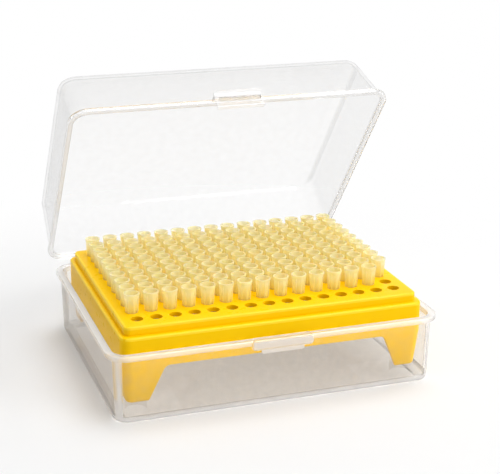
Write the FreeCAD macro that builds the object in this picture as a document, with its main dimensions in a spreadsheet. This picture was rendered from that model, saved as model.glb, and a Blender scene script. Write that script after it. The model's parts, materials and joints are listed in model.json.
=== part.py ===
"""Hinged box of pipette tips: a clear tub and lid, a stepped rack and ten rows of tips.

Frame: origin on the surface the box stands on, under the middle of the grid of holes.
+X runs right along the front, +Y to the hinges at the back, +Z up. Sizes in millimetres.
The lid is modelled shut, about its hinge axis, and its Placement swings it open.
"""
import FreeCAD, Part
import math
import os

import Sketcher
from FreeCAD import Rotation, Vector

SIZES = (
    # The grid of holes
    ("pitch", 9.0, "spacing of the holes both ways"),
    ("columns", 15, "holes along the front"),
    ("rows", 11, "holes from front to back"),
    ("hole_diameter", 5.8, "hole in the plate"),
    # The rack
    ("plate_margin_x", 8.0, "outer hole centre to the plate's side"),
    ("plate_margin_y", 9.5, "outer hole centre to the plate's front and back"),
    ("plate_top", 43.5, "height of the plate's top"),
    ("plate_thickness", 2.0, "plate"),
    ("step_top", 39.5, "height of the step round the plate"),
    ("step_width", 3.2, "width of that step, front and back"),
    ("side_step_width", 2.2, "width of the same step at the sides"),
    ("step_thickness", 2.0, "wall under the step"),
    ("skirt_bottom", 24.9, "height of the skirt's lower edge, which is the arches' top"),
    ("rack_wall", 2.0, "walls of plate block, skirt and legs"),
    ("rack_corner", 5.0, "outer corner radius of the skirt and legs"),
    ("plate_corner", 3.2, "outer corner radius of the plate"),
    ("rack_edge", 0.8, "rounding of the rack's upper edges"),
    ("leg_draft", 2.2, "how far the legs lean in over their height"),
    ("leg_top_width", 20.0, "leg beside an arch, at the skirt"),
    ("leg_foot_width", 12.2, "leg beside an arch, at the foot"),
    ("arch_corner", 3.5, "rounding of the arches' upper corners"),
    ("foot_corner", 1.6, "rounding of the legs' lower corners"),
    # The tub
    ("rim_height", 33.7, "height of the rim"),
    ("tub_wall", 1.5, "side walls"),
    ("tub_floor", 1.5, "floor"),
    ("rack_gap", 2.6, "skirt to the tub's inner wall at the rim, front and back"),
    ("side_gap", 3.6, "the same gap at the sides"),
    ("tub_draft", 0.7, "how far each wall leans in over its height"),
    ("tub_corner", 6.5, "inner corner radius of the tub"),
    ("tub_bottom_edge", 2.4, "outer rounding of the bottom edge"),
    ("flange_width", 2.2, "how far the rim flange stands out of the wall"),
    ("flange_height", 2.6, "thickness of the flange"),
    ("flange_edge", 0.7, "rounding of the flange's edges"),
    ("mouth_edge", 0.5, "rounding of the rim's inner edge"),
    ("seat_height", 5.8, "seats under the rack's legs, above the floor"),
    ("seat_diameter", 10.0, "the same seats"),
    ("seat_inset", 7.5, "seat centre inside the skirt's faces"),
    # The latch
    ("pad_width", 30.0, "pad under the lid's tab"),
    ("pad_rise", 0.3, "how far the pad stands over the rim"),
    ("pad_drop", 4.5, "how far it reaches below the rim"),
    ("pad_proud", 1.0, "how far it stands out of the flange"),
    ("pad_corner", 2.0, "rounding of its lower corners"),
    ("pad_edge", 0.5, "rounding of its outer edges"),
    ("lip_width", 20.5, "lip below the pad"),
    ("lip_height", 1.9, "the same lip"),
    ("lip_corner", 0.8, "rounding of its corners"),
    ("lip_inset", 0.5, "lip's face behind the pad's face"),
    ("tab_width", 24.0, "lid's tab"),
    ("tab_thickness", 2.2, "the same tab"),
    ("tab_above", 3.2, "how far the tab reaches above the lid's rim"),
    ("tab_below", 6.3, "how far it reaches below it"),
    ("tab_corner", 1.0, "rounding of its corners"),
    ("tab_gap", 0.7, "tab to the pad, with the lid shut"),
    ("slot_width", 21.0, "slot in the tab"),
    ("slot_top", 0.8, "slot's upper edge below the lid's rim"),
    ("slot_corner", 0.5, "rounding of the slot's corners"),
    ("slot_bottom", 4.2, "slot's lower edge below the lid's rim"),
    # The lid
    ("lid_gap", 0.3, "lid's rim to the tub's rim, with the lid shut"),
    ("lid_side_inset", 0.1, "lid's bead inside the flange's edge at the sides"),
    ("lid_inset", 1.0, "the same at front and back"),
    ("lid_height", 34.5, "lid over its rim"),
    ("lid_wall", 1.5, "walls and top of the lid"),
    ("lid_corner", 8.5, "outer corner radius of its walls"),
    ("lid_top_edge", 3.0, "rounding of the edge round its top"),
    ("lid_front_draft", 13.6, "how far the front leans in over its height"),
    ("lid_side_draft", 1.0, "the same at the sides"),
    ("lid_back_draft", 0.3, "the same at the back"),
    ("bead_width", 0.9, "how far the rim bead stands out of the walls"),
    ("bead_height", 2.2, "height of the bead"),
    ("bead_edge", 0.4, "rounding of its outer edges"),
    ("bridge_gap", 0.4, "pad's top to the bridge between lid and tab, with the lid shut"),
    ("bridge_top", 1.9, "top of that bridge above the lid's rim"),
    ("lid_open", 51.4, "angle that the lid stands open, in degrees"),
    # The hinges
    ("hinge_spacing", 90.0, "middle of one hinge to the other"),
    ("hinge_back", 3.9, "hinge axis behind the flange"),
    ("hinge_drop", 21.0, "hinge axis below the rim"),
    ("pin_diameter", 3.0, "pin stubs on the lid's arms"),
    ("pin_clearance", 0.06, "radial clearance of the pins in their bores"),
    ("pin_length", 2.2, "length of each stub"),
    ("knuckle_radius", 3.2, "ears and arms round the axis"),
    ("arm_width", 8.0, "lid's arm"),
    ("arm_height", 4.5, "lid's arm where it leaves the wall"),
    ("ear_thickness", 2.5, "tub's ears"),
    ("ear_gap", 0.3, "arm to ear"),
    ("ear_drop", 27.4, "foot of the ears on the wall, below the rim"),
    # The tips
    ("tip_rise", 9.1, "tip's rim above the plate"),
    ("tip_rim_diameter", 7.3, "tip's rim"),
    ("tip_rim_height", 0.5, "the same rim"),
    ("tip_flare", 1.9, "height of the flare under the rim"),
    ("tip_neck_diameter", 6.1, "tip below its rim"),
    ("tip_clearance", 0.4, "tip in its hole, all round"),
    ("tip_reach", 22.0, "tip below the plate's top"),
    ("tip_shoulder_drop", 12.0, "where the shaft turns slender, below the plate's top"),
    ("tip_shoulder_diameter", 3.2, "shaft there"),
    ("tip_end_diameter", 1.1, "fine end"),
    ("tip_mouth_diameter", 6.1, "bore at the rim"),
    ("tip_bore_wall", 0.55, "wall of the tip at the plate"),
    ("tip_shoulder_wall", 0.5, "wall at the shoulder"),
    ("tip_end_bore", 0.5, "bore at the fine end"),
    ("fin_count", 8, "fins round each tip"),
    ("fin_thickness", 0.5, "each fin"),
    ("fin_seat", 0.1, "how far the fins overlap the plate round the hole"),
    ("fin_top_inset", 0.1, "fin's outer edge inside the rim"),
)

SHORT_ROW = 2
NEAR = 0.01
HALF_ROUND = 1 - math.cos(math.pi / 4)
EDGE_SPOTS = 5


def fill_sheet(doc):
    """Write every driving size to the sheet, one named cell each."""
    sheet = doc.addObject("Spreadsheet::Sheet", "sizes")
    for row, (name, value, note) in enumerate(SIZES, start=1):
        sheet.set(f"A{row}", name)
        sheet.set(f"B{row}", str(value))
        sheet.set(f"C{row}", note)
        sheet.setAlias(f"B{row}", name)
    doc.recompute()
    return sheet


class Levels:
    """Expressions shared by pieces that meet, all worked out from the sheet."""

    plate_x = "((sizes.columns - 1) * sizes.pitch / 2 + sizes.plate_margin_x)"
    plate_y = "((sizes.rows - 1) * sizes.pitch / 2 + sizes.plate_margin_y)"
    skirt_x = f"({plate_x} + sizes.side_step_width)"
    skirt_y = f"({plate_y} + sizes.step_width)"
    cavity_x = f"({skirt_x} + sizes.side_gap)"
    cavity_y = f"({skirt_y} + sizes.rack_gap)"
    wall_x = f"({cavity_x} + sizes.tub_wall)"
    wall_y = f"({cavity_y} + sizes.tub_wall)"
    wall_corner = "(sizes.tub_corner + sizes.tub_wall)"
    flange_x = f"({wall_x} + sizes.flange_width)"
    flange_y = f"({wall_y} + sizes.flange_width)"
    foot = "(sizes.tub_floor + sizes.seat_height)"
    pad_face = f"({flange_y} + sizes.pad_proud)"
    hinge_y = f"({flange_y} + sizes.hinge_back)"
    hinge_z = "(sizes.rim_height - sizes.hinge_drop)"
    lid_rim = "(sizes.hinge_drop + sizes.lid_gap)"
    lid_x = f"({flange_x} - sizes.lid_side_inset - sizes.bead_width)"
    lid_front = f"(-{hinge_y} - {flange_y} + sizes.lid_inset + sizes.bead_width)"
    lid_back = "(-sizes.hinge_back - sizes.lid_inset - sizes.bead_width)"
    tab_face = f"(-{hinge_y} - {pad_face} - sizes.tab_gap)"
    ear_middle = "(sizes.arm_width / 2 + sizes.ear_gap + sizes.ear_thickness / 2)"
    tip_body = "(sizes.hole_diameter / 2 - sizes.tip_clearance)"


def plane_of(body, role):
    """Find one of the body's own origin planes."""
    return next(item for item in body.Origin.OriginFeatures if item.Role == role)


def bind(item, prop, expression):
    """Tie a property to the sheet."""
    item.setExpression(prop, expression)


def new_sketch(body, name, role, offset="0"):
    """Start a sketch on an origin plane, moved offset along its normal."""
    sketch = body.newObject("Sketcher::SketchObject", name)
    sketch.AttachmentSupport = (plane_of(body, role), [""])
    sketch.MapMode = "FlatFace"
    bind(sketch, "AttachmentOffset.Base.z", offset)
    return sketch


def constrain(sketch, label, kind, *where):
    """Add a dimension, name it and tie it to its expression, the last argument."""
    *where, expression = where
    value = sketch.evalExpression(expression)
    index = sketch.addConstraint(Sketcher.Constraint(kind, *where, float(value)))
    sketch.renameConstraint(index, label)
    bind(sketch, f"Constraints.{label}", expression)


def place_vertex(sketch, label, line, vertex, corner):
    """Tie one end of a line to its two coordinates, given as expressions."""
    for axis, kind, expression in (("x", "DistanceX", corner[0]), ("y", "DistanceY", corner[1])):
        constrain(sketch, f"{label}_{axis}", kind, -1, 1, line, vertex, expression)


def draw_polygon(sketch, corners):
    """Draw a closed outline of straight lines through corners given as expressions."""
    points = [Vector(*(float(sketch.evalExpression(part)) for part in corner), 0) for corner in corners]
    lines = [
        sketch.addGeometry(Part.LineSegment(start, end), False)
        for start, end in zip(points, points[1:] + points[:1])
    ]
    for index, line in enumerate(lines):
        following = lines[(index + 1) % len(lines)]
        sketch.addConstraint(Sketcher.Constraint("Coincident", line, 2, following, 1))
        place_vertex(sketch, f"corner_{index}", line, 1, corners[index])
    return sketch


def draw_rounded_rectangle(sketch, half_length, front, back, radius):
    """Draw a rectangle with round corners, centred on x = 0, from y = front to y = back."""
    half, near, far, bend = (
        float(sketch.evalExpression(text)) for text in (half_length, front, back, radius)
    )
    quarter = math.pi / 2
    centres = (
        Vector(half - bend, near + bend, 0),
        Vector(half - bend, far - bend, 0),
        Vector(-half + bend, far - bend, 0),
        Vector(-half + bend, near + bend, 0),
    )
    arcs = []
    for turn, centre in enumerate(centres):
        circle = Part.Circle(centre, Vector(0, 0, 1), bend)
        arc = Part.ArcOfCircle(circle, (turn - 1) * quarter, turn * quarter)
        arcs.append(sketch.addGeometry(arc, False))
    sides = []
    for index, arc in enumerate(arcs):
        following = arcs[(index + 1) % len(arcs)]
        start = sketch.getPoint(arc, 2)
        end = sketch.getPoint(following, 1)
        side = sketch.addGeometry(Part.LineSegment(start, end), False)
        sketch.addConstraint(Sketcher.Constraint("Tangent", arc, 2, side, 1))
        sketch.addConstraint(Sketcher.Constraint("Tangent", side, 2, following, 1))
        sketch.addConstraint(Sketcher.Constraint("Horizontal" if index % 2 else "Vertical", side))
        sides.append(side)
    for arc in arcs[1:]:
        sketch.addConstraint(Sketcher.Constraint("Equal", arcs[0], arc))
    right, rear, left, nose = sides
    constrain(sketch, "outline_radius", "Radius", arcs[0], radius)
    constrain(sketch, "outline_right", "DistanceX", -1, 1, right, 1, half_length)
    constrain(sketch, "outline_left", "DistanceX", -1, 1, left, 1, f"-{half_length}")
    constrain(sketch, "outline_back", "DistanceY", -1, 1, rear, 1, back)
    constrain(sketch, "outline_front", "DistanceY", -1, 1, nose, 1, front)
    return sketch


def outline(body, name, height, half_length, half_depth, radius):
    """Sketch a rounded rectangle about the origin at a height."""
    sketch = new_sketch(body, name, "XY_Plane", height)
    return draw_rounded_rectangle(sketch, half_length, f"-{half_depth}", half_depth, radius)


def box_outline(body, name, role, offset, low, high):
    """Sketch a plain rectangle on an origin plane from one corner to the opposite one."""
    corners = (low, (high[0], low[1]), high, (low[0], high[1]))
    return draw_polygon(new_sketch(body, name, role, offset), corners)


def spread(draft, height):
    """Give the angle by which walls lean out by a draft over a height."""
    return f"atan({draft} / {height})"


def pad(body, name, sketch, length, reverse=False, middle=False, taper="0"):
    """Raise a sketch along its normal, against it, or half each way; taper widens it as it goes."""
    feature = body.newObject("PartDesign::Pad", name)
    feature.Profile = sketch
    bind(feature, "Length", length)
    feature.Reversed = reverse
    feature.Midplane = middle
    bind(feature, "TaperAngle", taper)
    return finish(body, feature)


def pocket(body, name, sketch, length, reverse=False, middle=False, taper="0"):
    """Cut a sketch's outline against its normal, along it, or half each way; taper widens it."""
    before = body.Shape.Volume
    feature = body.newObject("PartDesign::Pocket", name)
    feature.Profile = sketch
    bind(feature, "Length", length)
    feature.Reversed = reverse
    feature.Midplane = middle
    bind(feature, "TaperAngle", taper)
    finish(body, feature)
    if feature.Shape.Volume >= before:
        raise RuntimeError(f"{name} cuts nothing")
    return feature


def finish(body, feature):
    """Recompute one feature, check it and make it the body's tip."""
    body.Tip = feature
    body.Document.recompute()
    if not feature.isValid() or feature.Shape.isNull():
        raise RuntimeError(f"{feature.Name} failed")
    return feature


def edges_where(shape, wanted):
    """Name the edges whose middle and direction suit the caller."""
    names = []
    for index, edge in enumerate(shape.Edges, start=1):
        if wanted(edge):
            names.append(f"Edge{index}")
    return names


def span(edge, axis):
    """Give the lowest and highest value of x, y or z along an edge."""
    places = [getattr(spot, axis) for spot in edge.discretize(EDGE_SPOTS)]
    return min(places), max(places)


def flat_at(edge, axis, place):
    """Tell whether all of an edge lies at one place along an axis."""
    low, high = span(edge, axis)
    return abs(low - place) < NEAR and abs(high - place) < NEAR


def reach(edge, axis):
    """Give how far out an edge gets from the middle along an axis."""
    return max(abs(place) for place in span(edge, axis))


def fillet(body, name, radius, wanted):
    """Round the edges of the body so far that suit the caller."""
    base = body.Tip
    edges = edges_where(base.Shape, wanted)
    if not edges:
        raise RuntimeError(f"{name} finds no edge")
    feature = body.newObject("PartDesign::Fillet", name)
    feature.Base = (base, edges)
    bind(feature, "Radius", radius)
    return finish(body, feature)


def mirror(body, name, originals, role):
    """Repeat features on the other side of an origin plane."""
    feature = body.newObject("PartDesign::Mirrored", name)
    feature.Originals = originals
    feature.MirrorPlane = (plane_of(body, role), [""])
    return finish(body, feature)


def value(doc, expression):
    """Work out an expression of the sheet."""
    return float(doc.sizes.evalExpression(expression))


def new_body(doc, name):
    """Start one physical piece, named after its file."""
    body = doc.addObject("PartDesign::Body", name)
    body.Label = name
    return body


def draw_circle(sketch, label, across, up, diameter):
    """Draw a circle about a point, all given as expressions."""
    centre = Vector(float(sketch.evalExpression(across)), float(sketch.evalExpression(up)), 0)
    radius = float(sketch.evalExpression(diameter)) / 2
    circle = sketch.addGeometry(Part.Circle(centre, Vector(0, 0, 1), radius), False)
    constrain(sketch, f"{label}_x", "DistanceX", -1, 1, circle, 3, across)
    constrain(sketch, f"{label}_y", "DistanceY", -1, 1, circle, 3, up)
    constrain(sketch, f"{label}_diameter", "Diameter", circle, diameter)
    return sketch


def draw_knuckle(sketch, axis, start, corners):
    """Draw a half round about an axis that runs into straight edges through the corners.

    The half round begins at start degrees and turns anticlockwise; the corners follow on
    from its end and lead back to its beginning.
    """
    centre = Vector(*(float(sketch.evalExpression(part)) for part in axis), 0)
    radius = float(sketch.evalExpression("sizes.knuckle_radius"))
    begin = math.radians(start)
    circle = Part.Circle(centre, Vector(0, 0, 1), radius)
    arc = sketch.addGeometry(Part.ArcOfCircle(circle, begin, begin + math.pi), False)
    points = [Vector(*(float(sketch.evalExpression(part)) for part in corner), 0) for corner in corners]
    stops = [sketch.getPoint(arc, 2), *points, sketch.getPoint(arc, 1)]
    lines = [
        sketch.addGeometry(Part.LineSegment(near, far), False) for near, far in zip(stops, stops[1:])
    ]
    sketch.addConstraint(Sketcher.Constraint("Coincident", arc, 2, lines[0], 1))
    sketch.addConstraint(Sketcher.Constraint("Coincident", lines[-1], 2, arc, 1))
    for index, (line, following) in enumerate(zip(lines, lines[1:])):
        sketch.addConstraint(Sketcher.Constraint("Coincident", line, 2, following, 1))
        place_vertex(sketch, f"corner_{index}", following, 1, corners[index])
    constrain(sketch, "axis_x", "DistanceX", -1, 1, arc, 3, axis[0])
    constrain(sketch, "axis_y", "DistanceY", -1, 1, arc, 3, axis[1])
    constrain(sketch, "round", "Radius", arc, "sizes.knuckle_radius")
    level = "Vertical" if start % 180 else "Horizontal"
    for end in (1, 2):
        sketch.addConstraint(Sketcher.Constraint(level, arc, end, arc, 3))
    return sketch


# The tub


def base_tub(doc):
    """Build the clear tub: walls and floor, rim flange, latch pad, hinge ears and rack seats."""
    body = new_body(doc, "base_tub")
    tub_walls(body)
    tub_flange(body)
    latch_pad(body)
    hinge_ears(body)
    tub_cavity(body)
    rack_seats(body)
    return body


def tub_walls(body):
    """Fill the drafted outside of the tub and round its bottom edge."""
    half = (f"({Levels.wall_x} - sizes.tub_draft)", f"({Levels.wall_y} - sizes.tub_draft)")
    foot = outline(body, "wall_foot", "0", *half, f"({Levels.wall_corner} - sizes.tub_draft)")
    lean = spread("sizes.tub_draft", "sizes.rim_height")
    pad(body, "walls", foot, "sizes.rim_height", taper=lean)
    fillet(body, "bottom_rounding", "sizes.tub_bottom_edge", lambda edge: flat_at(edge, "z", 0))


def tub_flange(body):
    """Run the flange round the rim and round its outer edges."""
    doc = body.Document
    top = value(doc, "sizes.rim_height")
    under = top - value(doc, "sizes.flange_height")
    wall_x, wall_y = value(doc, Levels.wall_x), value(doc, Levels.wall_y)
    corner = f"({Levels.wall_corner} + sizes.flange_width)"
    height = "(sizes.rim_height - sizes.flange_height)"
    shape = outline(body, "flange_outline", height, Levels.flange_x, Levels.flange_y, corner)
    pad(body, "flange", shape, "sizes.flange_height")

    def outer(edge):
        beyond = reach(edge, "x") > wall_x + NEAR or reach(edge, "y") > wall_y + NEAR
        return beyond and (flat_at(edge, "z", top) or flat_at(edge, "z", under))

    fillet(body, "flange_rounding", "sizes.flange_edge", outer)


def latch_pad(body):
    """Stand the latch pad and the lip below it out of the front."""
    sketch = new_sketch(body, "pad_outline", "XZ_Plane", Levels.pad_face)
    low, high = "(sizes.rim_height - sizes.pad_drop)", "(sizes.rim_height + sizes.pad_rise)"
    draw_rounded_rectangle(sketch, "(sizes.pad_width / 2)", low, high, "sizes.pad_corner")
    root = f"({Levels.cavity_y} + sizes.tub_wall / 2)"
    pad(body, "latch_pad", sketch, f"({Levels.pad_face} - {root})", reverse=True)
    face = value(body.Document, Levels.pad_face)
    fillet(body, "pad_rounding", "sizes.pad_edge", lambda edge: flat_at(edge, "y", -face))
    lip_face = f"({Levels.pad_face} - sizes.lip_inset)"
    sketch = new_sketch(body, "lip_outline", "XZ_Plane", lip_face)
    top = "(sizes.rim_height - sizes.pad_drop + sizes.pad_corner)"
    bottom = "(sizes.rim_height - sizes.pad_drop - sizes.lip_height)"
    draw_rounded_rectangle(sketch, "(sizes.lip_width / 2)", bottom, top, "sizes.lip_corner")
    pad(body, "latch_lip", sketch, f"({lip_face} - {root})", reverse=True)


def hinge_ears(body):
    """Stand two ears at each hinge and bore them for the lid's pins."""
    foot = f"({Levels.wall_y} - sizes.tub_wall / 2)"
    corners = (
        (foot, f"({Levels.hinge_z} + sizes.knuckle_radius)"),
        (foot, "(sizes.rim_height - sizes.ear_drop)"),
    )
    ears = []
    for side, sign in (("inner", "-"), ("outer", "+")):
        place = f"(sizes.hinge_spacing / 2 {sign} {Levels.ear_middle})"
        sketch = new_sketch(body, f"{side}_ear_outline", "YZ_Plane", place)
        draw_knuckle(sketch, (Levels.hinge_y, Levels.hinge_z), -90, corners)
        ears.append(pad(body, f"{side}_ear", sketch, "sizes.ear_thickness", middle=True))
    mirror(body, "other_ears", ears, "YZ_Plane")
    sketch = new_sketch(body, "bore_outline", "YZ_Plane")
    bore = "(sizes.pin_diameter + 2 * sizes.pin_clearance)"
    draw_circle(sketch, "bore", Levels.hinge_y, Levels.hinge_z, bore)
    pocket(body, "bores", sketch, f"(2 * {Levels.flange_x})", middle=True)


def tub_cavity(body):
    """Hollow the tub out and round the inside edges."""
    doc = body.Document
    half = (f"({Levels.cavity_x} - sizes.tub_draft)", f"({Levels.cavity_y} - sizes.tub_draft)")
    floor = outline(body, "cavity_floor", "sizes.tub_floor", *half, "(sizes.tub_corner - sizes.tub_draft)")
    depth = "(sizes.rim_height - sizes.tub_floor)"
    pocket(body, "cavity", floor, depth, reverse=True, taper=spread("sizes.tub_draft", depth))
    bottom, top = value(doc, "sizes.tub_floor"), value(doc, "sizes.rim_height")
    fillet(
        body, "cavity_rounding", "(sizes.tub_bottom_edge - sizes.tub_wall)",
        lambda edge: flat_at(edge, "z", bottom),
    )
    cavity_x, cavity_y = value(doc, Levels.cavity_x), value(doc, Levels.cavity_y)

    def mouth(edge):
        inside = reach(edge, "x") < cavity_x + NEAR and reach(edge, "y") < cavity_y + NEAR
        return inside and flat_at(edge, "z", top)

    fillet(body, "mouth_rounding", "sizes.mouth_edge", mouth)


def rack_seats(body):
    """Raise the four round seats that the rack's legs stand on."""
    sketch = new_sketch(body, "seat_outlines", "XY_Plane", "sizes.tub_floor")
    across = f"({Levels.skirt_x} - sizes.seat_inset)"
    along = f"({Levels.skirt_y} - sizes.seat_inset)"
    for index, (side, end) in enumerate((("", ""), ("-", ""), ("", "-"), ("-", "-"))):
        draw_circle(sketch, f"seat_{index}", f"{side}{across}", f"{end}{along}", "sizes.seat_diameter")
    pad(body, "seats", sketch, "sizes.seat_height")


# The rack

LEG_HEIGHT = f"(sizes.skirt_bottom - {Levels.foot})"


def tip_rack(doc):
    """Build the stepped rack with its arches, legs and holes."""
    body = new_body(doc, "tip_rack")
    rack_blocks(body)
    rack_hollow(body)
    rack_arches(body)
    rack_holes(body)
    return body


def rack_blocks(body):
    """Stack legs, skirt and plate, and round the upper edges."""
    doc = body.Document
    half = (f"({Levels.skirt_x} - sizes.leg_draft)", f"({Levels.skirt_y} - sizes.leg_draft)")
    foot = outline(body, "foot_outline", Levels.foot, *half, "(sizes.rack_corner - sizes.leg_draft)")
    pad(body, "legs", foot, LEG_HEIGHT, taper=spread("sizes.leg_draft", LEG_HEIGHT))
    bottom = value(doc, Levels.foot)
    fillet(body, "foot_rounding", "sizes.foot_corner", lambda edge: flat_at(edge, "z", bottom))
    skirt = outline(
        body, "skirt_outline", "sizes.skirt_bottom", Levels.skirt_x, Levels.skirt_y, "sizes.rack_corner"
    )
    pad(body, "skirt", skirt, "(sizes.step_top - sizes.skirt_bottom)")
    plate = outline(
        body, "plate_outline", "sizes.step_top", Levels.plate_x, Levels.plate_y, "sizes.plate_corner"
    )
    pad(body, "plate", plate, "(sizes.plate_top - sizes.step_top)")
    plate_top, step_top = value(doc, "sizes.plate_top"), value(doc, "sizes.step_top")
    plate_x, plate_y = value(doc, Levels.plate_x), value(doc, Levels.plate_y)

    def upper(edge):
        beyond = reach(edge, "x") > plate_x + NEAR or reach(edge, "y") > plate_y + NEAR
        return flat_at(edge, "z", plate_top) or (beyond and flat_at(edge, "z", step_top))

    fillet(body, "upper_rounding", "sizes.rack_edge", upper)


def rack_hollow(body):
    """Hollow the rack out from below, in steps that leave its walls even."""
    wall = "sizes.rack_wall"
    corner = f"(sizes.rack_corner - {wall})"
    skirt = (f"({Levels.skirt_x} - {wall})", f"({Levels.skirt_y} - {wall})")
    foot = tuple(f"({half} - sizes.leg_draft)" for half in skirt)
    plate = (f"({Levels.plate_x} - {wall})", f"({Levels.plate_y} - {wall})")
    sketch = outline(body, "leg_hollow_outline", Levels.foot, *foot, f"({corner} - sizes.leg_draft)")
    lean = spread("sizes.leg_draft", LEG_HEIGHT)
    pocket(body, "leg_hollow", sketch, LEG_HEIGHT, reverse=True, taper=lean)
    sketch = outline(body, "skirt_hollow_outline", "sizes.skirt_bottom", *skirt, corner)
    depth = "(sizes.step_top - sizes.step_thickness - sizes.skirt_bottom)"
    pocket(body, "skirt_hollow", sketch, depth, reverse=True)
    under = "(sizes.step_top - sizes.step_thickness)"
    sketch = outline(body, "plate_hollow_outline", under, *plate, corner)
    depth = "(sizes.plate_top - sizes.plate_thickness - sizes.step_top + sizes.step_thickness)"
    pocket(body, "plate_hollow", sketch, depth, reverse=True)


def rack_arches(body):
    """Cut an arch through front and back, and one through both sides, to leave four legs."""
    doc = body.Document
    top = value(doc, "sizes.skirt_bottom")
    for name, role, half, reach in (
        ("front", "XZ_Plane", Levels.skirt_x, Levels.skirt_y),
        ("side", "YZ_Plane", Levels.skirt_y, Levels.skirt_x),
    ):
        crown = f"({half} - sizes.leg_top_width)"
        spring = f"({half} - sizes.leg_foot_width)"
        corners = (
            (f"-{spring}", Levels.foot),
            (spring, Levels.foot),
            (crown, "sizes.skirt_bottom"),
            (f"-{crown}", "sizes.skirt_bottom"),
        )
        sketch = draw_polygon(new_sketch(body, f"{name}_arch_outline", role), corners)
        pocket(body, f"{name}_arch", sketch, f"(4 * {reach})", middle=True)
        axis = "x" if name == "front" else "y"
        place = value(doc, crown)

        def crown_corner(edge, axis=axis, place=place):
            at_side = flat_at(edge, axis, place) or flat_at(edge, axis, -place)
            return at_side and flat_at(edge, "z", top)

        fillet(body, f"{name}_arch_rounding", "sizes.arch_corner", crown_corner)


def rack_holes(body):
    """Cut the grid of holes through the plate."""
    sketch = new_sketch(body, "hole_outline", "XY_Plane", "sizes.plate_top")
    across = "(-(sizes.columns - 1) * sizes.pitch / 2)"
    along = "(-(sizes.rows - 1) * sizes.pitch / 2)"
    draw_circle(sketch, "hole", across, along, "sizes.hole_diameter")
    hole = pocket(body, "hole", sketch, "(2 * sizes.plate_thickness)")
    grid = body.newObject("PartDesign::MultiTransform", "hole_grid")
    grid.Originals = [hole]
    directions = []
    for name, role, count in (
        ("holes_across", "X_Axis", "sizes.columns"),
        ("holes_along", "Y_Axis", "sizes.rows"),
    ):
        directions.append(line_up(body, name, role, count))
    grid.Transformations = directions
    finish(body, grid)


def line_up(body, name, role, count):
    """Set up a run of copies one pitch apart along an origin axis."""
    run = body.newObject("PartDesign::LinearPattern", name)
    run.Direction = (plane_of(body, role), [""])
    run.Mode = "Spacing"
    bind(run, "Offset", "sizes.pitch")
    bind(run, "Occurrences", count)
    return run


# The lid, drawn shut with the origin on its hinge axis


def lid(doc):
    """Build the clear lid with its bead, tab and hinge arms, and swing it open."""
    body = new_body(doc, "lid")
    lid_shell(body)
    latch_tab(body)
    hinge_arms(body)
    bind(body, "Placement.Base.y", Levels.hinge_y)
    bind(body, "Placement.Base.z", Levels.hinge_z)
    body.Placement.Rotation = Rotation(Vector(-1, 0, 0), value(doc, "sizes.lid_open"))
    bind(body, "Placement.Rotation.Angle", "sizes.lid_open")
    doc.recompute()
    return body


def lid_shell(body):
    """Raise the lid with its leaning sides, rounded top and bead, and take its inside out."""
    loft(body, "shell", "PartDesign::AdditiveLoft", lid_sections(body, "shell", "0"))
    lid_bead(body)
    loft(body, "hollow", "PartDesign::SubtractiveLoft", lid_sections(body, "hollow", "sizes.lid_wall"))


def lid_sections(body, name, wall):
    """Sketch the lid's outline, or its inside a wall further in, from the rim up to the top."""
    rounding = f"(sizes.lid_top_edge - {wall})"
    levels = (
        ("rim", "0", "0"),
        ("shoulder", "(sizes.lid_height - sizes.lid_top_edge)", "0"),
        (
            "round",
            f"(sizes.lid_height - {wall} - {HALF_ROUND} * {rounding})",
            f"({HALF_ROUND} * {rounding})",
        ),
        ("top", f"(sizes.lid_height - {wall})", rounding),
    )
    sections = []
    for label, height, turn in levels:
        share = f"({height} / sizes.lid_height)"
        inset = f"({wall} + {turn})"
        sketch = new_sketch(body, f"{name}_{label}", "XY_Plane", f"({Levels.lid_rim} + {height})")
        draw_rounded_rectangle(
            sketch, f"({Levels.lid_x} - sizes.lid_side_draft * {share} - {inset})",
            f"({Levels.lid_front} + sizes.lid_front_draft * {share} + {inset})",
            f"({Levels.lid_back} - sizes.lid_back_draft * {share} - {inset})",
            f"(sizes.lid_corner - {inset})",
        )
        sections.append(sketch)
    return sections


def loft(body, name, kind, sections):
    """Join a row of sketched outlines with straight sides, into the body or out of it."""
    feature = body.newObject(kind, name)
    feature.Profile = sections[0]
    feature.Sections = sections[1:]
    feature.Ruled = True
    return finish(body, feature)


def lid_bead(body):
    """Run the bead round the lid's rim and round its outer edges."""
    doc = body.Document
    sketch = new_sketch(body, "bead_outline", "XY_Plane", Levels.lid_rim)
    draw_rounded_rectangle(
        sketch, f"({Levels.lid_x} + sizes.bead_width)", f"({Levels.lid_front} - sizes.bead_width)",
        f"({Levels.lid_back} + sizes.bead_width)", "(sizes.lid_corner + sizes.bead_width)",
    )
    pad(body, "bead", sketch, "sizes.bead_height")
    low = value(doc, Levels.lid_rim)
    high = low + value(doc, "sizes.bead_height")
    wall_x = value(doc, Levels.lid_x)
    front, back = value(doc, Levels.lid_front), value(doc, Levels.lid_back)

    def outer(edge):
        near, far = span(edge, "y")
        beyond = reach(edge, "x") > wall_x + NEAR or near < front - NEAR or far > back + NEAR
        return beyond and (flat_at(edge, "z", low) or flat_at(edge, "z", high))

    fillet(body, "bead_rounding", "sizes.bead_edge", outer)


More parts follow.
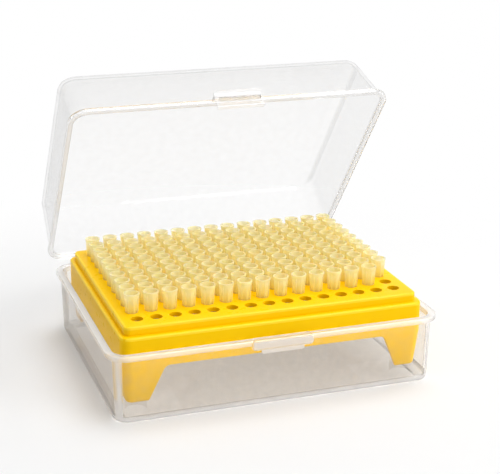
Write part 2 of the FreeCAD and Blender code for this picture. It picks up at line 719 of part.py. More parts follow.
def latch_tab(body):
    """Stand the slotted tab off the front wall and hang it in front of the tub's pad."""
    doc = body.Document
    top = f"({Levels.lid_rim} + sizes.tab_above)"
    bottom = f"({Levels.lid_rim} - sizes.tab_below)"
    front = f"({Levels.tab_face} - sizes.tab_thickness)"
    plate = box_outline(
        body, "tab_outline", "YZ_Plane", "0", (front, bottom), (Levels.tab_face, top)
    )
    root = f"({Levels.lid_front} + sizes.lid_wall)"
    low = f"({Levels.lid_rim} + sizes.pad_rise - sizes.lid_gap + sizes.bridge_gap)"
    high = f"({Levels.lid_rim} + sizes.bridge_top)"
    bridge = box_outline(
        body, "bridge_outline", "YZ_Plane", "0",
        (f"({Levels.tab_face} - sizes.tab_thickness / 2)", low), (root, high),
    )
    pad(body, "bridge", bridge, "sizes.tab_width", middle=True)
    pad(body, "tab", plate, "sizes.tab_width", middle=True)
    levels = value(doc, bottom), value(doc, top)
    back = value(doc, Levels.tab_face)

    def tab_corner(edge):
        left, right = span(edge, "x")
        at_end = any(flat_at(edge, "z", level) for level in levels)
        return right - left < NEAR and at_end and span(edge, "y")[1] < back + NEAR

    fillet(body, "tab_corners", "sizes.tab_corner", tab_corner)
    offset = f"(-{Levels.tab_face})"
    slot = new_sketch(body, "slot_outline", "XZ_Plane", offset)
    low = f"({Levels.lid_rim} - sizes.slot_bottom)"
    high = f"({Levels.lid_rim} - sizes.slot_top)"
    draw_rounded_rectangle(slot, "(sizes.slot_width / 2)", low, high, "sizes.slot_corner")
    pocket(body, "slot", slot, "(2 * sizes.tab_thickness)", middle=True)


def hinge_arms(body):
    """Run an arm back to each hinge and put a pin stub on both its sides."""
    root = f"({Levels.lid_back} - sizes.lid_wall / 2)"
    corners = (
        ("sizes.knuckle_radius", Levels.lid_rim),
        (root, f"({Levels.lid_rim} + sizes.arm_height)"),
        (root, Levels.lid_rim),
        ("-sizes.knuckle_radius", Levels.lid_rim),
    )
    half = "(sizes.hinge_spacing / 2)"
    sketch = new_sketch(body, "arm_outline", "YZ_Plane", half)
    draw_knuckle(sketch, ("0", "0"), 180, corners)
    arm = pad(body, "arm", sketch, "sizes.arm_width", middle=True)
    sketch = new_sketch(body, "pin_outline", "YZ_Plane", half)
    draw_circle(sketch, "pin", "0", "0", "sizes.pin_diameter")
    pins = pad(body, "pins", sketch, "(sizes.arm_width + 2 * sizes.pin_length)", middle=True)
    mirror(body, "other_arm", [arm, pins], "YZ_Plane")


# The tips, drawn with the origin on the plate's top


def tips_row(doc, row, count):
    """Build one row of tips: turn one, stand fins round it and line up the copies."""
    body = new_body(doc, f"tips_row_{row:02d}")
    radius = {
        name: f"(sizes.tip_{name} / 2)"
        for name in ("rim_diameter", "neck_diameter", "shoulder_diameter", "end_diameter", "mouth_diameter")
    }
    rim_foot = "(sizes.tip_rise - sizes.tip_rim_height)"
    profile = (
        (radius["mouth_diameter"], "sizes.tip_rise"),
        (radius["rim_diameter"], "sizes.tip_rise"),
        (radius["rim_diameter"], rim_foot),
        (radius["neck_diameter"], f"({rim_foot} - sizes.tip_flare)"),
        (Levels.tip_body, "0"),
        (radius["shoulder_diameter"], "-sizes.tip_shoulder_drop"),
        (radius["end_diameter"], "-sizes.tip_reach"),
        ("(sizes.tip_end_bore / 2)", "-sizes.tip_reach"),
        (f"({radius['shoulder_diameter']} - sizes.tip_shoulder_wall)", "-sizes.tip_shoulder_drop"),
        (f"({Levels.tip_body} - sizes.tip_bore_wall)", "0"),
    )
    sketch = draw_polygon(new_sketch(body, "profile", "XZ_Plane"), profile)
    turned = body.newObject("PartDesign::Revolution", "turned")
    turned.Profile = sketch
    turned.ReferenceAxis = (plane_of(body, "Z_Axis"), [""])
    finish(body, turned)
    buried = "(sizes.tip_bore_wall / 4)"
    fin_profile = (
        (f"({Levels.tip_body} - {buried})", "0"),
        ("(sizes.hole_diameter / 2 + sizes.fin_seat)", "0"),
        (f"({radius['rim_diameter']} - sizes.fin_top_inset)", rim_foot),
        (f"({radius['mouth_diameter']} + {buried})", rim_foot),
    )
    sketch = draw_polygon(new_sketch(body, "fin_profile", "XZ_Plane"), fin_profile)
    fin = pad(body, "fin", sketch, "sizes.fin_thickness", middle=True)
    ring = body.newObject("PartDesign::PolarPattern", "fins")
    ring.Originals = [fin]
    ring.Axis = (plane_of(body, "Z_Axis"), [""])
    bind(ring, "Occurrences", "sizes.fin_count")
    finish(body, ring)
    run = line_up(body, "copies", "X_Axis", count)
    run.TransformMode = "Whole shape"
    finish(body, run)
    place_row(body, row)
    return body


def tips_row_copy(doc, row, model):
    """Repeat a full row of tips further back."""
    body = new_body(doc, f"tips_row_{row:02d}")
    copy = body.newObject("PartDesign::FeatureBase", "copy")
    copy.BaseFeature = model
    body.Tip = copy
    place_row(body, row)
    return body


def place_row(body, row):
    """Stand a row of tips in its holes; row 1 is the one at the front."""
    bind(body, "Placement.Base.x", "(-(sizes.columns - 1) * sizes.pitch / 2)")
    bind(body, "Placement.Base.y", f"(({row - 1} - (sizes.rows - 1) / 2) * sizes.pitch)")
    bind(body, "Placement.Base.z", "sizes.plate_top")


def check(doc, pieces):
    """Stop if any object failed or any piece's shape is unsound."""
    for item in doc.Objects:
        if "Invalid" in item.State or "Error" in item.State:
            raise RuntimeError(f"{item.Name} is {item.State}")
    for piece in pieces:
        if piece.Shape.isNull() or not piece.Shape.isValid():
            raise RuntimeError(f"{piece.Label} has no sound shape")


def main():
    """Build every piece and write each one to its file."""
    doc = FreeCAD.newDocument("pipette_tip_box")
    fill_sheet(doc)
    pieces = [base_tub(doc), lid(doc), tip_rack(doc)]
    pieces.append(tips_row(doc, SHORT_ROW, "(sizes.columns - 1)"))
    full_row = tips_row(doc, SHORT_ROW + 1, "sizes.columns")
    pieces.append(full_row)
    last_row = round(value(doc, "sizes.rows"))
    pieces.extend(tips_row_copy(doc, row, full_row) for row in range(SHORT_ROW + 2, last_row + 1))
    doc.recompute()
    check(doc, pieces)
    os.makedirs("parts", exist_ok=True)
    for piece in pieces:
        piece.Shape.exportStep(f"parts/{piece.Label}.step")
        print(piece.Label, len(piece.Shape.Solids), "solids", round(piece.Shape.Volume), "mm3")


main()
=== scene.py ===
"""Looks of an open box of pipette tips: clear tub and lid, yellow rack, rows of milky tips."""

import json
import logging
import math
import operator
from dataclasses import dataclass
from enum import Enum
from functools import reduce

import bpy
from mathutils import Matrix, Vector

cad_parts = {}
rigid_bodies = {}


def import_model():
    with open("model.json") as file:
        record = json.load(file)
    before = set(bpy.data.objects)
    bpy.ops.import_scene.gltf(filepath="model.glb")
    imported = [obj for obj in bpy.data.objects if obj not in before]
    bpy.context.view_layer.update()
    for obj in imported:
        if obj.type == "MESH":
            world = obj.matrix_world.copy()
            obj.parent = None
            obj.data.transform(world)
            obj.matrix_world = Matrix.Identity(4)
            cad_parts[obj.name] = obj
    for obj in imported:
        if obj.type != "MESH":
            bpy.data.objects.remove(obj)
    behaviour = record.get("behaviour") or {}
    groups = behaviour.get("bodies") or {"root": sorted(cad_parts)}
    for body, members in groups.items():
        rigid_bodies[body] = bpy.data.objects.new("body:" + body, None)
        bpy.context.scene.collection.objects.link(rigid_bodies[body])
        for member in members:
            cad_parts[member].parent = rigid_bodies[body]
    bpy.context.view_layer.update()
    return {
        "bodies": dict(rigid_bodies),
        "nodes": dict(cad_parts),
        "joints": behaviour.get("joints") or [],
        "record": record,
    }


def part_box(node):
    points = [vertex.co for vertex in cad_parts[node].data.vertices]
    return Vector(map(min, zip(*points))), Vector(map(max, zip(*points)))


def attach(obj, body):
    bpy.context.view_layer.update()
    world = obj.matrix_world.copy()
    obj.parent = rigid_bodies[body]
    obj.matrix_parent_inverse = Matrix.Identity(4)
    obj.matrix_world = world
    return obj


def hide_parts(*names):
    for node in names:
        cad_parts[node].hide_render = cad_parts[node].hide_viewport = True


LOG = logging.getLogger("tip_box")

Point = tuple[float, float, float]
Colour = tuple[float, float, float, float]
Span = tuple[float, float]
Limits = tuple[float | None, float | None]

OPEN: Limits = (None, None)
WHITE: Colour = (1.0, 1.0, 1.0, 1.0)
BLACK: Colour = (0.0, 0.0, 0.0, 1.0)
NOISE_ROUGHNESS = 0.55
EVEN_BLEND = 0.5


class Noise(Enum):
    """Scales of the irregularities that a moulded surface shows, in features per metre."""

    FLOW = 22.0
    MOTTLE = 260.0
    GRAIN = 1900.0


class Ray(Enum):
    """Kinds of light ray that a shader can tell apart."""

    CAMERA = "Is Camera Ray"
    GLOSSY = "Is Glossy Ray"
    TRANSMISSION = "Is Transmission Ray"
    SHADOW = "Is Shadow Ray"


class Val:
    """A socket that can be used in plain arithmetic."""

    def __init__(self, graph: "Graph", socket: bpy.types.NodeSocket) -> None:
        """Wrap an output socket of the graph."""
        self.graph = graph
        self.socket = socket

    def _op(self, kind: str, first: "Val | float", second: "Val | float") -> "Val":
        """Return the result of a new Math node of the given kind."""
        return self.graph.node("ShaderNodeMath", {"operation": kind}, {0: first, 1: second})

    def __add__(self, other: "Val | float") -> "Val":
        """Return self + other."""
        return self._op("ADD", self, other)

    def __radd__(self, other: "Val | float") -> "Val":
        """Return other + self."""
        return self._op("ADD", other, self)

    def __sub__(self, other: "Val | float") -> "Val":
        """Return self - other."""
        return self._op("SUBTRACT", self, other)

    def __rsub__(self, other: "Val | float") -> "Val":
        """Return other - self."""
        return self._op("SUBTRACT", other, self)

    def __mul__(self, other: "Val | float") -> "Val":
        """Return self * other."""
        return self._op("MULTIPLY", self, other)

    def __rmul__(self, other: "Val | float") -> "Val":
        """Return other * self."""
        return self._op("MULTIPLY", other, self)

    def __pow__(self, other: "Val | float") -> "Val":
        """Return self to the power other."""
        return self._op("POWER", self, other)

    def most(self, other: "Val | float") -> "Val":
        """Return the greater of self and other."""
        return self._op("MAXIMUM", self, other)

    def size(self) -> "Val":
        """Return self without its sign."""
        return self._op("ABSOLUTE", self, 0.0)


class Graph:
    """The nodes of a material or world, with short calls for what the finishes here use."""

    def __init__(self, owner: bpy.types.Material | bpy.types.World, output: str) -> None:
        """Start with nothing but an output.

        Args:
            owner: The material or world.
            output: The type of its output node.
        """
        owner.use_nodes = True
        self.owner = owner
        self.tree = owner.node_tree
        self.tree.nodes.clear()
        self.output = self.tree.nodes.new(output)

    @classmethod
    def material(cls, name: str) -> "Graph":
        """Return the graph of a new material."""
        return cls(bpy.data.materials.new(name), "ShaderNodeOutputMaterial")

    def node(self, kind: str, settings: dict, sockets: dict, result: int | str = 0) -> Val:
        """Add a node.

        Args:
            kind: The node's type.
            settings: Its settings, made before its sockets are filled.
            sockets: Its sockets by name or number, each a value or a link.
            result: Name or number of the output to return.

        Returns:
            The wanted output.
        """
        made = self.tree.nodes.new(kind)
        for name, value in settings.items():
            setattr(made, name, value)
        for key, value in sockets.items():
            if isinstance(value, Val):
                self.tree.links.new(value.socket, made.inputs[key])
            else:
                made.inputs[key].default_value = value
        return Val(self, made.outputs[result])

    def place(self) -> Val:
        """Return the point on the piece, in metres."""
        return self.node("ShaderNodeTexCoord", {}, {}, "Object")

    def parts(self, point: Val) -> list[Val]:
        """Return a point's three parts: across, along and up."""
        return [self.node("ShaderNodeSeparateXYZ", {}, {0: point}, axis) for axis in range(3)]

    def noise(self, kind: Noise, octaves: float) -> Val:
        """Return fractal noise about 0.5, most of it between 0.3 and 0.7.

        Args:
            kind: The scale of its features.
            octaves: How many finer layers it has.

        Returns:
            The noise.
        """
        sockets = {
            "Vector": self.place(), "Scale": kind.value, "Detail": octaves, "Roughness": NOISE_ROUGHNESS,
        }
        return self.node("ShaderNodeTexNoise", {}, sockets, "Fac")

    def span(self, value: Val, source: Span, target: Span) -> Val:
        """Return a value moved from one span onto another, and held at its ends.

        Args:
            value: The value.
            source: Where it runs from and to.
            target: What those ends become.

        Returns:
            The moved value.
        """
        sockets = {
            "Value": value, "From Min": source[0], "From Max": source[1],
            "To Min": target[0], "To Max": target[1],
        }
        return self.node("ShaderNodeMapRange", {"clamp": True}, sockets)

    def blend(self, share: Val, first: Val | Colour, second: Val | Colour) -> Val:
        """Return the first colour with a share of the second one."""
        return self.node("ShaderNodeMix", {"data_type": "RGBA"}, {0: share, 6: first, 7: second}, 2)

    def bump(self, height: Val, strength: float, distance: float) -> Val:
        """Return a normal bent by a height.

        Args:
            height: The height, from 0 to 1.
            strength: How much of the bend is kept.
            distance: What a height of 1 stands for, in metres.

        Returns:
            The normal.
        """
        sockets = {"Height": height, "Strength": strength, "Distance": distance}
        return self.node("ShaderNodeBump", {}, sockets, "Normal")

    def edgeways(self, power: float) -> Val:
        """Return 0 where the surface is seen flat on, rising to 1 where it is seen edge on."""
        return self.node("ShaderNodeLayerWeight", {}, {"Blend": EVEN_BLEND}, "Facing") ** power

    def seen_by(self, *rays: Ray) -> Val:
        """Return 1 for the given kinds of ray and 0 for others."""
        return reduce(Val.most, [self.node("ShaderNodeLightPath", {}, {}, ray.value) for ray in rays])

    def principled(self, sockets: dict) -> Val:
        """Return a Principled shader with the given sockets."""
        return self.node("ShaderNodeBsdfPrincipled", {}, sockets, "BSDF")

    def see_through(self, tint: Colour) -> Val:
        """Return a shader that shows what lies behind it, tinted."""
        return self.node("ShaderNodeBsdfTransparent", {}, {"Color": tint}, "BSDF")

    def over(self, share: Val, under: Val, top: Val) -> Val:
        """Return a share of the top shader laid over the under one."""
        return self.node("ShaderNodeMixShader", {}, {0: share, 1: under, 2: top})

    def lit_through(self, share: float, solid: Val, tint: Colour) -> Val:
        """Return a shader that lets part of the lamps' light through.

        Args:
            share: The part that goes through.
            solid: What is seen otherwise.
            tint: The colour that the light takes.

        Returns:
            The shader.
        """
        return self.over(self.seen_by(Ray.SHADOW) * share, solid, self.see_through(tint))

    def finish(self, shader: Val) -> bpy.types.Material | bpy.types.World:
        """Give the output its shader, and return the material or world."""
        self.tree.links.new(shader.socket, self.output.inputs["Surface"])
        return self.owner


@dataclass(frozen=True)
class Zone:
    """A box in a piece, mirrored left to right and front to back, with its limits in metres."""

    across: Limits = OPEN
    along: Limits = OPEN
    height: Limits = OPEN

    def mask(self, graph: Graph, parts: list[Val], soft: float) -> Val:
        """Return 1 inside the box and 0 outside it.

        Args:
            graph: The material's graph.
            parts: The distances from the middle across and along, and the height.
            soft: The width of the change at the box's sides.

        Returns:
            The mask.
        """
        steps = []
        for part, (low, high) in zip(parts, (self.across, self.along, self.height)):
            if low is not None:
                steps.append(graph.span(part, (low - soft, low), (0.0, 1.0)))
            if high is not None:
                steps.append(graph.span(part, (high, high + soft), (1.0, 0.0)))
        return reduce(operator.mul, steps)


@dataclass(frozen=True)
class Region:
    """Some zones of a piece, in which its plastic is thick, bent or otherwise finished.

    A piece that rests turned has its points turned back about its pivot, so that its zones can
    be given upright.
    """

    zones: tuple[Zone, ...]
    turn_deg: float = 0.0
    pivot: Point = (0.0, 0.0, 0.0)
    soft: float = 0.0004

    def mask(self, graph: Graph) -> Val:
        """Return 1 in the zones and 0 elsewhere.

        Args:
            graph: The material's graph.

        Returns:
            The mask.
        """
        turn = math.radians(self.turn_deg)
        pivot = Vector(self.pivot)
        upright = graph.node("ShaderNodeMapping", {}, {
            "Vector": graph.place(), "Rotation": (turn, 0.0, 0.0),
            "Location": pivot - Matrix.Rotation(turn, 3, "X") @ pivot,
        })
        across, along, height = graph.parts(upright)
        parts = [across.size(), along.size(), height]
        return reduce(Val.most, [zone.mask(graph, parts, self.soft) for zone in self.zones])


@dataclass(frozen=True)
class ClearPlastic:
    """Clear moulded plastic: thin hazy walls, and thick places that bend the light.

    A thin wall shows what lies behind it through its tint and a share of haze, and turns to its
    edge colour where it is seen edge on. A thick place is a faintly milky bulk with a darker line
    round it. Plain places show no edge, edged ones show more of it, and frosted ones are cloudy.
    """

    name: str
    thick: Region
    plain: Region | None = None
    edged: Region | None = None
    frosted: Region | None = None
    tint: Colour = (0.985, 0.985, 0.985, 1.0)
    haze: Colour = (0.92, 0.92, 0.92, 1.0)
    haze_share: float = 0.025
    haze_spread: Span = (0.7, 1.5)
    haze_roughness: float = 0.5
    edge: Colour = (0.62, 0.62, 0.62, 1.0)
    edge_share: float = 0.6
    edge_power: float = 4.0
    edged_share: float = 0.55
    edged_power: float = 1.2
    line: Colour = (0.50, 0.48, 0.46, 1.0)
    line_share: float = 0.85
    line_power: float = 2.0
    mirror: float = 0.7
    gloss: Span = (0.036, 0.12)
    cloud: Span = (0.35, 0.7)
    thick_gloss: float = 0.16
    milk: float = 0.08
    ior: float = 1.42
    frost: Colour = (0.74, 0.72, 0.71, 1.0)
    frost_share: float = 0.75
    frost_roughness: float = 0.5
    frost_shine: float = 0.2
    ripple: float = 0.008
    ripple_depth: float = 0.0006

    def make(self) -> bpy.types.Material:
        """Lay the thick places over the thin walls, each with its own look edge on.

        Returns:
            The material.
        """
        graph = Graph.material(self.name)
        mottle = graph.noise(Noise.MOTTLE, octaves=3.0)
        normal = graph.bump(graph.noise(Noise.FLOW, octaves=2.0), self.ripple, self.ripple_depth)
        rough = graph.span(mottle, self.cloud, self.gloss)
        rim, line = (self._sheen(graph, colour, rough, normal) for colour in (self.edge, self.line))
        wall = graph.over(self._rim_share(graph), self._hazy_wall(graph, mottle), rim)
        outline = graph.edgeways(self.line_power) * self.line_share
        lined = graph.over(outline, self._bulk(graph, normal), line)
        return graph.finish(graph.over(self.thick.mask(graph), wall, graph.lit_through(1.0, lined, WHITE)))

    def _sheen(self, graph: Graph, colour: Colour, rough: Val, normal: Val) -> Val:
        """Return the mirror-like look of a surface seen edge on.

        Args:
            graph: The material's graph.
            colour: What it turns reflections to.
            rough: How much it blurs them.
            normal: Its rippled normal.

        Returns:
            The shader.
        """
        return graph.principled({
            "Base Color": colour, "Roughness": rough, "Metallic": self.mirror, "Normal": normal,
        })

    def _hazy_wall(self, graph: Graph, mottle: Val) -> Val:
        """Return the look of a thin wall seen flat on.

        Args:
            graph: The material's graph.
            mottle: The unevenness of its haze.

        Returns:
            The shader.
        """
        hazy = graph.principled({
            "Base Color": self.haze, "Roughness": self.haze_roughness, "Specular IOR Level": 0.0,
        })
        least, most = (self.haze_share * spread for spread in self.haze_spread)
        return graph.over(graph.span(mottle, self.cloud, (least, most)), graph.see_through(self.tint), hazy)

    def _rim_share(self, graph: Graph) -> Val:
        """Return how much of a thin wall looks as it does edge on.

        Args:
            graph: The material's graph.

        Returns:
            The share, none of it in the plain places and more in the edged ones.
        """
        share = graph.edgeways(self.edge_power) * self.edge_share
        if self.plain:
            share = share * (1.0 - self.plain.mask(graph))
        if self.edged:
            outline = graph.edgeways(self.edged_power) * self.edged_share
            share = share.most(outline * self.edged.mask(graph))
        return share

    def _bulk(self, graph: Graph, normal: Val) -> Val:
        """Return the look of a thick place, which bends the light.

        Args:
            graph: The material's graph.
            normal: Its rippled normal.

        Returns:
            The shader.
        """
        bulk = graph.principled({
            "Base Color": WHITE, "Roughness": self.thick_gloss, "IOR": self.ior,
            "Normal": normal, "Transmission Weight": 1.0 - self.milk,
        })
        if not self.frosted:
            return bulk
        cloudy = graph.principled({
            "Base Color": self.frost, "Roughness": self.frost_roughness,
            "Specular IOR Level": self.frost_shine,
        })
        return graph.over(self.frosted.mask(graph) * self.frost_share, bulk, cloudy)


@dataclass(frozen=True)
class YellowPlastic:
    """Yellow moulded plastic with a satin gloss, a faint grain and a painted highlight along its edges.

    The noise behind its two yellows, and that behind its grain, is a major share of its own kind
    with mottle for the rest.
    """

    name: str
    edges: Region
    colour: Colour = (0.97, 0.60, 0.001, 1.0)
    deep: Colour = (0.95, 0.55, 0.001, 1.0)
    # edge is the paler yellow of the painted highlight along the edges
    edge: Colour = (1.0, 0.68, 0.03, 1.0)
    gloss: Colour = (1.0, 0.82, 0.16, 1.0)
    glow: Colour = (1.0, 0.72, 0.30, 1.0)
    glow_share: float = 0.35
    deep_share: float = 0.35
    deep_cloud: Span = (0.4, 0.62)
    cloud: Span = (0.3, 0.7)
    roughness: Span = (0.25, 0.38)
    grain: float = 0.02
    grain_depth: float = 0.0001
    major: float = 0.6
    ior: float = 1.49
    shine: float = 0.04
    coat: float = 0.15
    coat_roughness: float = 0.18
    coat_ior: float = 1.4

    def make(self) -> bpy.types.Material:
        """Mottle the two yellows, paint a highlight along the edges and let a little light through.

        Returns:
            The material.
        """
        graph = Graph.material(self.name)
        minor = 1.0 - self.major
        mottle = graph.noise(Noise.MOTTLE, octaves=4.0)
        flow = graph.noise(Noise.FLOW, octaves=3.0) * self.major + mottle * minor
        grain = graph.noise(Noise.GRAIN, octaves=2.0) * self.major + mottle * minor
        body = graph.blend(graph.span(flow, self.deep_cloud, (0.0, self.deep_share)), self.colour, self.deep)
        # Painted highlight: the base colour turns to the edge yellow inside the edge region.
        solid = graph.principled({
            "Base Color": graph.blend(self.edges.mask(graph), body, self.edge),
            "Roughness": graph.span(mottle, self.cloud, self.roughness),
            "Normal": graph.bump(grain, self.grain, self.grain_depth),
            "IOR": self.ior, "Specular IOR Level": self.shine, "Specular Tint": self.gloss,
            "Coat Weight": self.coat, "Coat Roughness": self.coat_roughness, "Coat IOR": self.coat_ior,
        })
        return graph.finish(graph.lit_through(self.glow_share, solid, self.glow))


@dataclass(frozen=True)
class MilkyPlastic:
    """Milky plastic of the tips, which takes up the light, with painted light and shade.

    It is deepest in colour below the heights that it rises through, and freshest above them: painted shade
    and painted yellow light from the plate.
    """

    name: str
    painted_shade_rise: Span
    colour: Colour = (0.98, 0.85, 0.43, 1.0)
    pale: Colour = (1.0, 0.93, 0.61, 1.0)
    # deep is the colour of the painted shade and painted yellow plate light near the plate
    deep: Colour = (0.92, 0.68, 0.12, 1.0)
    pale_share: float = 0.6
    pale_cloud: Span = (0.35, 0.65)
    through: Colour = (1.0, 0.97, 0.88, 1.0)
    through_share: float = 0.4
    cloud: Span = (0.3, 0.7)
    roughness: Span = (0.28, 0.40)
    ripple: float = 0.08
    ripple_depth: float = 0.0002
    scatter: tuple[float, float, float] = (1.0, 0.85, 0.5)
    scatter_share: float = 0.8
    scatter_depth: float = 0.003
    body: float = 0.52
    # A painted glow, standing in for light scattered inside the tips.
    painted_glow: float = 0.05
    ior: float = 1.49

    def make(self) -> bpy.types.Material:
        """Mottle the plastic, deepen it downwards as painted shade and plate light, give it a painted glow
        and let light through.

        Returns:
            The material.
        """
        graph = Graph.material(self.name)
        mottle = graph.noise(Noise.MOTTLE, octaves=2.0)
        # Painted shade and painted yellow plate light: the colour deepens below the given heights over the
        # plate.
        height = graph.parts(graph.place())[2]
        clouds = graph.span(mottle, self.pale_cloud, (0.0, self.pale_share))
        fresh = graph.blend(clouds, self.colour, self.pale)
        solid = graph.principled({
            "Base Color": graph.blend(graph.span(height, self.painted_shade_rise, (0.0, 1.0)), self.deep, fresh),
            "Roughness": graph.span(mottle, self.cloud, self.roughness),
            "Normal": graph.bump(mottle, self.ripple, self.ripple_depth), "IOR": self.ior,
            "Subsurface Weight": self.scatter_share, "Subsurface Radius": self.scatter,
            "Subsurface Scale": self.scatter_depth, "Alpha": self.body,
            # Painted glow: the tips emit their own colour, standing in for light scattered inside them.
            "Emission Color": self.colour, "Emission Strength": self.painted_glow,
        })
        return graph.finish(graph.lit_through(self.through_share, solid, self.through))


@dataclass(frozen=True)
class PaleFloor:
    """Plain white sheet that takes the box's shadow and fades into the white of the room.

    It is a sheet as far as near, and nothing but a white glow from far outwards.
    """

    name: str = "floor"
    sheet: Colour = (0.78, 0.78, 0.78, 1.0)
    glow: Colour = (0.03, 0.03, 0.03, 1.0)
    near: float = 0.08
    far: float = 0.30
    roughness: float = 0.9

    def make(self) -> bpy.types.Material:
        """Take shadow near the box and glow white away from it, but light nothing.

        Returns:
            The material.
        """
        graph = Graph.material(self.name)
        reach = graph.node("ShaderNodeVectorMath", {"operation": "LENGTH"}, {0: graph.place()}, "Value")
        away = graph.node(
            "ShaderNodeMapRange", {"interpolation_type": "SMOOTHSTEP"},
            {"Value": reach, "From Min": self.near, "From Max": self.far},
        )
        seen = graph.seen_by(Ray.CAMERA, Ray.GLOSSY, Ray.TRANSMISSION)
        return graph.finish(graph.principled({
            "Base Color": graph.blend(seen, self.sheet, graph.blend(away, self.sheet, BLACK)),
            "Roughness": self.roughness, "Specular IOR Level": 0.0,
            "Emission Color": graph.blend(seen, BLACK, graph.blend(away, self.glow, WHITE)),
            "Emission Strength": 1.0,
        }))


@dataclass
class Piece:
    """A node of the frame carried over with clean normals and its finish."""

    node: str
    body: str
    slot: str
    smooth_deg: float
    merge: float = 0.000004

    def build(self, frame: dict, material: bpy.types.Material) -> None:
        """Copy the node's mesh, close its seams, smooth its round faces and dress it.

        Args:
            material: The piece's finish.
        """
        piece = bpy.data.objects.new(f"{self.node}_dressed", frame["nodes"][self.node].data.copy())
        bpy.context.collection.objects.link(piece)
        deselect()
        piece.select_set(True)
        bpy.context.view_layer.objects.active = piece
        bpy.ops.object.mode_set(mode="EDIT")
        bpy.ops.mesh.select_all(action="SELECT")
        bpy.ops.mesh.remove_doubles(threshold=self.merge)
        bpy.ops.object.mode_set(mode="OBJECT")
        if piece.data.has_custom_normals:
            bpy.ops.mesh.customdata_custom_splitnormals_clear()
        bpy.ops.object.shade_smooth_by_angle(angle=math.radians(self.smooth_deg))
        piece.data.materials.clear()
        piece.data.materials.append(material)
        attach(piece, self.body)
        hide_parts(self.node)
        LOG.info("%s: %d faces", piece.name, len(piece.data.polygons))


def deselect() -> None:
    """Leave nothing selected."""
    bpy.ops.object.select_all(action="DESELECT")


def raised(level: float, heights: Span) -> Span:
    """Return the heights of a span that is counted from a level."""
    return level + heights[0], level + heights[1]


@dataclass
class Tub:
    """Clear tub, thick at its rim, corners and foot, with a frosted latch pad and seats for the rack.

    Its places are counted from the middle across and along and from the floor up. Those of the
    rim, the pad and the lip are counted down from its top, and in from the pad's face.
    """

    rim_depth: float = 0.0028
    pad_depth: float = 0.0008
    pad_half: float = 0.0140
    pad_height: Span = (-0.0039, -0.0008)
    lip_depth: float = 0.0009
    lip_half: float = 0.0125
    lip_top: float = -0.0046
    corner_across: float = 0.0742
    corner_along: float = 0.0572
    foot_across: float = 0.0722
    foot_along: float = 0.0568
    foot_height: float = 0.0028
    seat_across: Span = (0.045, 0.0715)
    seat_along: Span = (0.035, 0.0560)
    seat_height: Span = (0.0012, 0.012)
    smooth_deg: float = 40.0

    def build(self, frame: dict) -> None:
        """Dress the tub.
        """
        low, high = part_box("base_tub")
        pad_along = (-low.y - self.pad_depth, None)
        lip_along = (-low.y - self.lip_depth, None)
        foot_height = (None, self.foot_height)
        thick = Region((
            Zone(height=(high.z - self.rim_depth, None)),
            Zone(along=pad_along),
            Zone(across=(self.corner_across, None), along=(self.corner_along, None)),
            Zone(across=(self.foot_across, None), height=foot_height),
            Zone(along=(self.foot_along, None), height=foot_height),
        ))
        frosted = Region((
            Zone((None, self.pad_half), pad_along, raised(high.z, self.pad_height)),
            Zone((None, self.lip_half), lip_along, (None, high.z + self.lip_top)),
        ))
        seats = Region((Zone(self.seat_across, self.seat_along, self.seat_height),))
        finish = ClearPlastic(
            "clear_tub", thick, plain=seats, frosted=frosted, tint=(0.988, 0.979, 0.966, 1.0),
            haze=(0.92, 0.89, 0.85, 1.0), haze_share=0.05, milk=0.32,
        )
        Piece("base_tub", "base", "clear_tub", self.smooth_deg).build(frame, finish.make())


@dataclass
class Lid:
    """Clear lid, thick along its bead, with strong outlines on its tab, arms and top edge.

    Its heights are those of the shut lid, counted from the tub's rim.
    """

    bead: Span = (-0.0004, 0.0024)
    top_edge: Span = (0.0310, 0.0324)
    bead_reach: float = 0.0645
    smooth_deg: float = 50.0

    def build(self, frame: dict) -> None:
        """Dress the lid.
        """
        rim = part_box("base_tub")[1].z
        hinge = next(joint for joint in frame["joints"] if joint["name"] == "lid_hinge")
        shut_deg = hinge["axis"][0] * hinge["range_deg"][0]
        pivot = tuple(hinge["pos_m"])
        bead = Zone(along=(None, self.bead_reach), height=raised(rim, self.bead))
        tab = Zone(along=(self.bead_reach, None))
        top_edge = Zone(height=raised(rim, self.top_edge))
        thick = Region((bead,), shut_deg, pivot)
        edged = Region((tab, top_edge), shut_deg, pivot)
        finish = ClearPlastic("clear_lid", thick, edged=edged)
        Piece("lid", "lid", "clear_lid", self.smooth_deg).build(frame, finish.make())


@dataclass
class Rack:
    """Yellow rack, with a painted highlight along the upper edges of its plate and of its skirt.

    The plate is smaller than the skirt by the steps across and along, and the skirt's top lies
    lower by the step down.
    """

    step_across: float = 0.0022
    step_along: float = 0.0032
    step_down: float = 0.0040
    painted_highlight_band: float = 0.0010
    depth: float = 0.0011
    soft: float = 0.0003
    smooth_deg: float = 30.0

    def build(self, frame: dict) -> None:
        """Dress the rack.
        """
        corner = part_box("tip_rack")[1]
        plate = corner - Vector((self.step_across, self.step_along, 0.0))
        skirt = corner - Vector((0.0, 0.0, self.step_down))
        # Painted highlight: bands along the upper edges of the plate and of the skirt, where the rack's
        # yellow is made paler.
        zones = []
        for edge in (plate, skirt):
            height = (edge.z - self.depth, None)
            zones.append(Zone(along=(edge.y - self.painted_highlight_band, None), height=height))
            zones.append(Zone(across=(edge.x - self.painted_highlight_band, None), height=height))
        finish = YellowPlastic("yellow_rack", Region(tuple(zones), soft=self.soft))
        Piece("tip_rack", "base", "yellow_rack", self.smooth_deg).build(frame, finish.make())


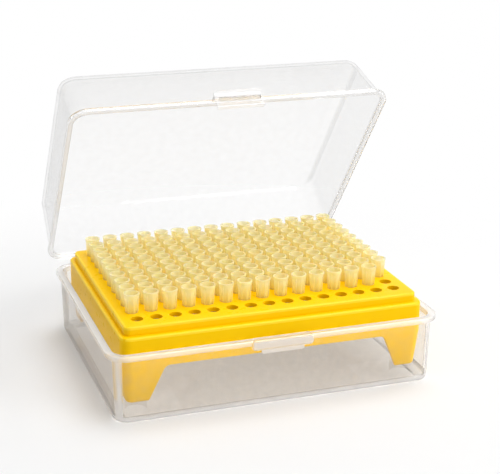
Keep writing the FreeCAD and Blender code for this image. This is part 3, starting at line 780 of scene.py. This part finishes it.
@dataclass
class Tips:
    """Rows of tips, with painted shade and painted yellow plate light that make them deeper in colour near
    the plate.
    """

    first_row: int = 2
    last_row: int = 11
    # Heights over the plate through which the painted shade and plate light fade out.
    painted_shade_rise: Span = (-0.0010, 0.0065)
    smooth_deg: float = 40.0

    def build(self, frame: dict) -> None:
        """Dress every row.
        """
        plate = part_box("tip_rack")[1].z
        milky = MilkyPlastic("tip_plastic", raised(plate, self.painted_shade_rise)).make()
        for row in range(self.first_row, self.last_row + 1):
            Piece(f"tips_row_{row:02d}", "base", "tip_plastic", self.smooth_deg).build(frame, milky)


@dataclass(frozen=True)
class Lamp:
    """A soft lamp, turned to the box, that may be left out of what matt surfaces receive."""

    name: str
    place: Point
    power: float
    width: float = 0.8
    depth: float = 0.8
    lights_matt: bool = True

    def hang(self, look_at: Vector) -> None:
        """Hang the lamp.

        Args:
            look_at: The point that it is turned to.
        """
        light = bpy.data.lights.new(f"{self.name}_lamp", "AREA")
        light.shape = "RECTANGLE"
        light.size = self.width
        light.size_y = self.depth
        light.energy = self.power
        holder = bpy.data.objects.new(f"{self.name}_lamp", light)
        bpy.context.collection.objects.link(holder)
        holder.location = self.place
        holder.rotation_euler = (look_at - holder.location).to_track_quat("-Z", "Y").to_euler()
        holder.visible_diffuse = self.lights_matt


@dataclass
class Studio:
    """White sheet, soft lamps, plain white surroundings and the camera."""

    eye_distance: float = 0.62489
    azimuth: float = 19.187
    elevation: float = 18.638
    roll: float = 0.414
    look_at: Point = (0.002566, -0.010, 0.064149)
    lens: float = 93.21
    clip_start: float = 0.01
    sheet_half: float = 2.0
    sky_light: float = 0.50
    lamps: tuple[Lamp, ...] = (
        Lamp("top", (0.25, 0.05, 1.05), 8.0),
        Lamp("right", (0.95, -0.95, 0.5), 8.2),
        Lamp("left", (-1.0, 0.6, 0.6), 0.3),
        Lamp("glint", (0.33, -0.38, 0.95), 11.0, 0.6, 0.12, lights_matt=False),
    )

    def build(self) -> None:
        """Set up everything round the box."""
        self._sheet()
        for lamp in self.lamps:
            lamp.hang(Vector(self.look_at))
        self._world()
        self._camera()

    def _sheet(self) -> None:
        """Lay the white sheet under the box."""
        deselect()
        bpy.ops.mesh.primitive_plane_add(size=2 * self.sheet_half, location=(0.0, 0.0, 0.0))
        sheet = bpy.context.active_object
        sheet.name = "floor_sheet"
        sheet.data.materials.append(PaleFloor().make())

    def _world(self) -> None:
        """Give plain surroundings that look white and light the box at a plain level."""
        graph = Graph(bpy.data.worlds.new("white_room"), "ShaderNodeOutputWorld")
        seen = graph.seen_by(Ray.CAMERA, Ray.GLOSSY, Ray.TRANSMISSION)
        level = graph.span(seen, (0.0, 1.0), (self.sky_light, 1.0))
        sky = graph.node("ShaderNodeBackground", {}, {"Color": WHITE, "Strength": level})
        bpy.context.scene.world = graph.finish(sky)

    def _camera(self) -> None:
        """Stand the camera in front, a little to the left and above."""
        turn, tilt, lean = (math.radians(angle) for angle in (self.azimuth, self.elevation, self.roll))
        ahead = Vector((math.sin(turn) * math.cos(tilt), math.cos(turn) * math.cos(tilt), -math.sin(tilt)))
        side = ahead.cross(Vector((0.0, 0.0, 1.0))).normalized()
        up = side.cross(ahead)
        right = side * math.cos(lean) + up * math.sin(lean)
        above = up * math.cos(lean) - side * math.sin(lean)
        lens = bpy.data.cameras.new("camera")
        lens.lens = self.lens
        lens.sensor_fit = "HORIZONTAL"
        lens.clip_start = self.clip_start
        holder = bpy.data.objects.new("camera", lens)
        bpy.context.collection.objects.link(holder)
        eye = Vector(self.look_at) - ahead * self.eye_distance
        axes = Matrix((right, above, -ahead)).transposed().to_4x4()
        holder.matrix_world = Matrix.Translation(eye) @ axes
        bpy.context.scene.camera = holder


def main() -> None:
    """Dress the frame and set the studio."""
    logging.basicConfig(level=logging.INFO, format="%(name)s %(message)s")
    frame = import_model()
    for assembly in (Tub(), Lid(), Rack(), Tips()):
        assembly.build(frame)
    Studio().build()
    bpy.context.scene.view_settings.view_transform = "Standard"


if __name__ == "__main__":
    main()
